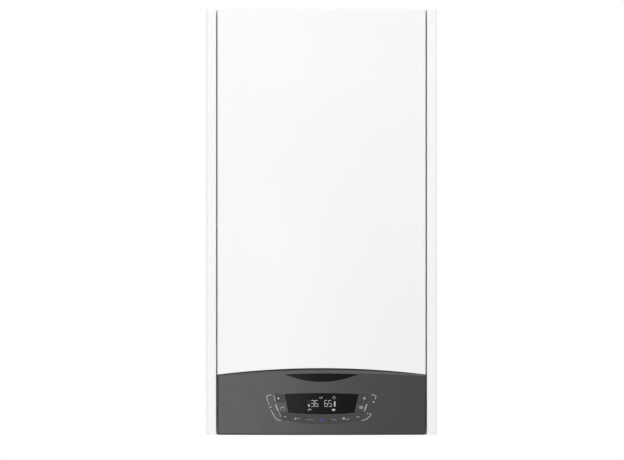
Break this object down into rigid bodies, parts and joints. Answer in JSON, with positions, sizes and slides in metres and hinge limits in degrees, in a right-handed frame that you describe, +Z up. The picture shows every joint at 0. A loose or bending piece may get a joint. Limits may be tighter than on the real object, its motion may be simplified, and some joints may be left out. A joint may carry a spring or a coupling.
{
  "type": "combi boiler",
  "caption": "Wall-hung combi boiler: bowed pull-off front cover, drop-down control panel with display and push keys, flue socket on top and pipe connections underneath.",
  "frame": {"origin": "bottom centre of the back face, which lies against the wall", "axes": "+X to the right seen from the front, +Y towards the wall, +Z up"},
  "size_m": [0.4, 0.3196, 0.738],
  "materials": {
    "white_enamel": "smooth baked enamel",
    "zinc_sheet": "zinc-plated sheet",
    "zinc_screw": "zinc-plated",
    "stainless": "brushed",
    "cast_aluminium": "as cast",
    "copper": "drawn copper tube",
    "brass": "machined and forged",
    "vessel_red": "painted",
    "fascia_grey": "fine texture",
    "key_grey": "satin",
    "lens_black": "gloss",
    "badge_black": "gloss",
    "display_glass": "display unit",
    "board_green": "solder mask",
    "box_black": "moulded",
    "black_plastic": "moulded",
    "motor_black": "painted can",
    "pale_plastic": "moulded polypropylene",
    "red_plastic": "moulded",
    "blue_plastic": "moulded",
    "rubber_black": "moulded rubber",
    "ceramic_white": "glazed"
  },
  "bodies": {
    "casing": {"back_frame": "zinc_sheet", "left_side_panel": "white_enamel", "right_side_panel": "white_enamel", "top_panel": "white_enamel", "bottom_rail": "zinc_sheet", "hinge_brackets": "zinc_sheet", "casing_screws": "zinc_screw", "air_intake_collar": "pale_plastic", "test_point_caps": "rubber_black", "flue_duct": "pale_plastic", "exchanger_shell": "stainless", "exchanger_coil": "stainless", "burner_door": "cast_aluminium", "burner_tube": "stainless", "door_nuts": "zinc_screw", "electrodes": "ceramic_white", "fan_housing": "cast_aluminium", "fan_motor": "motor_black", "gas_mixer": "cast_aluminium", "gas_valve": "cast_aluminium", "gas_pipe": "copper", "air_inlet_tube": "black_plastic", "expansion_vessel": "vessel_red", "vessel_hose": "rubber_black", "connection_tails": "brass", "plate_exchanger": "stainless", "pump_body": "brass", "pump_motor": "motor_black", "air_vent": "black_plastic", "diverter_body": "brass", "diverter_actuator": "black_plastic", "relief_valve": "brass", "filling_valve": "brass", "flow_pipe": "copper", "return_pipe": "copper", "condensate_trap": "pale_plastic", "wiring_harness": "rubber_black"},
    "cover": {"front_cover": "white_enamel", "cover_screws": "zinc_screw"},
    "control_panel": {"control_fascia": "fascia_grey", "control_box": "box_black", "badge_insert": "badge_black", "display_lens": "lens_black", "display_module": "display_glass", "main_pcb": "board_green"},
    "fan_wheel": {"fan_impeller": "cast_aluminium"},
    "pump_wheel": {"pump_rotor": "stainless"},
    "turbine": {"flow_turbine": "pale_plastic"},
    "diverter_plug": {"diverter_stem": "brass"},
    "relief_handle": {"relief_knob": "red_plastic"},
    "filling_handle": {"filling_knob": "blue_plastic"},
    "water_plus": {"water_plus_key": "key_grey"},
    "water_minus": {"water_minus_key": "key_grey"},
    "heating_plus": {"heating_plus_key": "key_grey"},
    "heating_minus": {"heating_minus_key": "key_grey"},
    "reset": {"reset_key": "key_grey"},
    "comfort": {"comfort_key": "key_grey"},
    "power": {"power_key": "key_grey"},
    "menu": {"menu_key": "key_grey"},
    "schedule": {"schedule_key": "key_grey"}
  },
  "joints": [
    {"name": "cover_pull", "type": "slide", "parent": "casing", "child": "cover", "axis": [0, -1, 0], "range_m": [0, 0.12]},
    {"name": "panel_drop", "type": "hinge", "parent": "casing", "child": "control_panel", "pos_m": [0, -0.23, 0.012], "axis": [1, 0, 0], "range_deg": [0, 90]},
    {"name": "fan_spin", "type": "hinge", "parent": "casing", "child": "fan_wheel", "pos_m": [0.118, -0.22, 0.54], "axis": [0, 1, 0], "continuous": true},
    {"name": "pump_spin", "type": "hinge", "parent": "casing", "child": "pump_wheel", "pos_m": [0.112, -0.19, 0.205], "axis": [0, 1, 0], "continuous": true},
    {"name": "turbine_spin", "type": "hinge", "parent": "casing", "child": "turbine", "pos_m": [0.067, -0.13, 0.092], "axis": [0, 0, 1], "continuous": true},
    {"name": "diverter_shift", "type": "slide", "parent": "casing", "child": "diverter_plug", "axis": [0, 0, 1], "range_m": [0, 0.008]},
    {"name": "relief_turn", "type": "hinge", "parent": "casing", "child": "relief_handle", "pos_m": [0.134, -0.21, 0.13], "axis": [0, 1, 0], "range_deg": [0, 90]},
    {"name": "filling_turn", "type": "hinge", "parent": "casing", "child": "filling_handle", "pos_m": [0.0985, -0.13, 0.03], "axis": [0, 0, 1], "range_deg": [0, 90]},
    {"name": "water_plus_press", "type": "slide", "parent": "control_panel", "child": "water_plus", "axis": [0, 1, 0], "range_m": [0, 0.0008], "stiffness_N_per_m": 500, "springref_m": -0.0005},
    {"name": "water_minus_press", "type": "slide", "parent": "control_panel", "child": "water_minus", "axis": [0, 1, 0], "range_m": [0, 0.0008], "stiffness_N_per_m": 500, "springref_m": -0.0005},
    {"name": "heating_plus_press", "type": "slide", "parent": "control_panel", "child": "heating_plus", "axis": [0, 1, 0], "range_m": [0, 0.0008], "stiffness_N_per_m": 500, "springref_m": -0.0005},
    {"name": "heating_minus_press", "type": "slide", "parent": "control_panel", "child": "heating_minus", "axis": [0, 1, 0], "range_m": [0, 0.0008], "stiffness_N_per_m": 500, "springref_m": -0.0005},
    {"name": "reset_press", "type": "slide", "parent": "control_panel", "child": "reset", "axis": [0, 1, 0], "range_m": [0, 0.0008], "stiffness_N_per_m": 500, "springref_m": -0.0005},
    {"name": "comfort_press", "type": "slide", "parent": "control_panel", "child": "comfort", "axis": [0, 1, 0], "range_m": [0, 0.0008], "stiffness_N_per_m": 500, "springref_m": -0.0005},
    {"name": "power_press", "type": "slide", "parent": "control_panel", "child": "power", "axis": [0, 1, 0], "range_m": [0, 0.0008], "stiffness_N_per_m": 500, "springref_m": -0.0005},
    {"name": "menu_press", "type": "slide", "parent": "control_panel", "child": "menu", "axis": [0, 1, 0], "range_m": [0, 0.0008], "stiffness_N_per_m": 500, "springref_m": -0.0005},
    {"name": "schedule_press", "type": "slide", "parent": "control_panel", "child": "schedule", "axis": [0, 1, 0], "range_m": [0, 0.0008], "stiffness_N_per_m": 500, "springref_m": -0.0005}
  ]
}
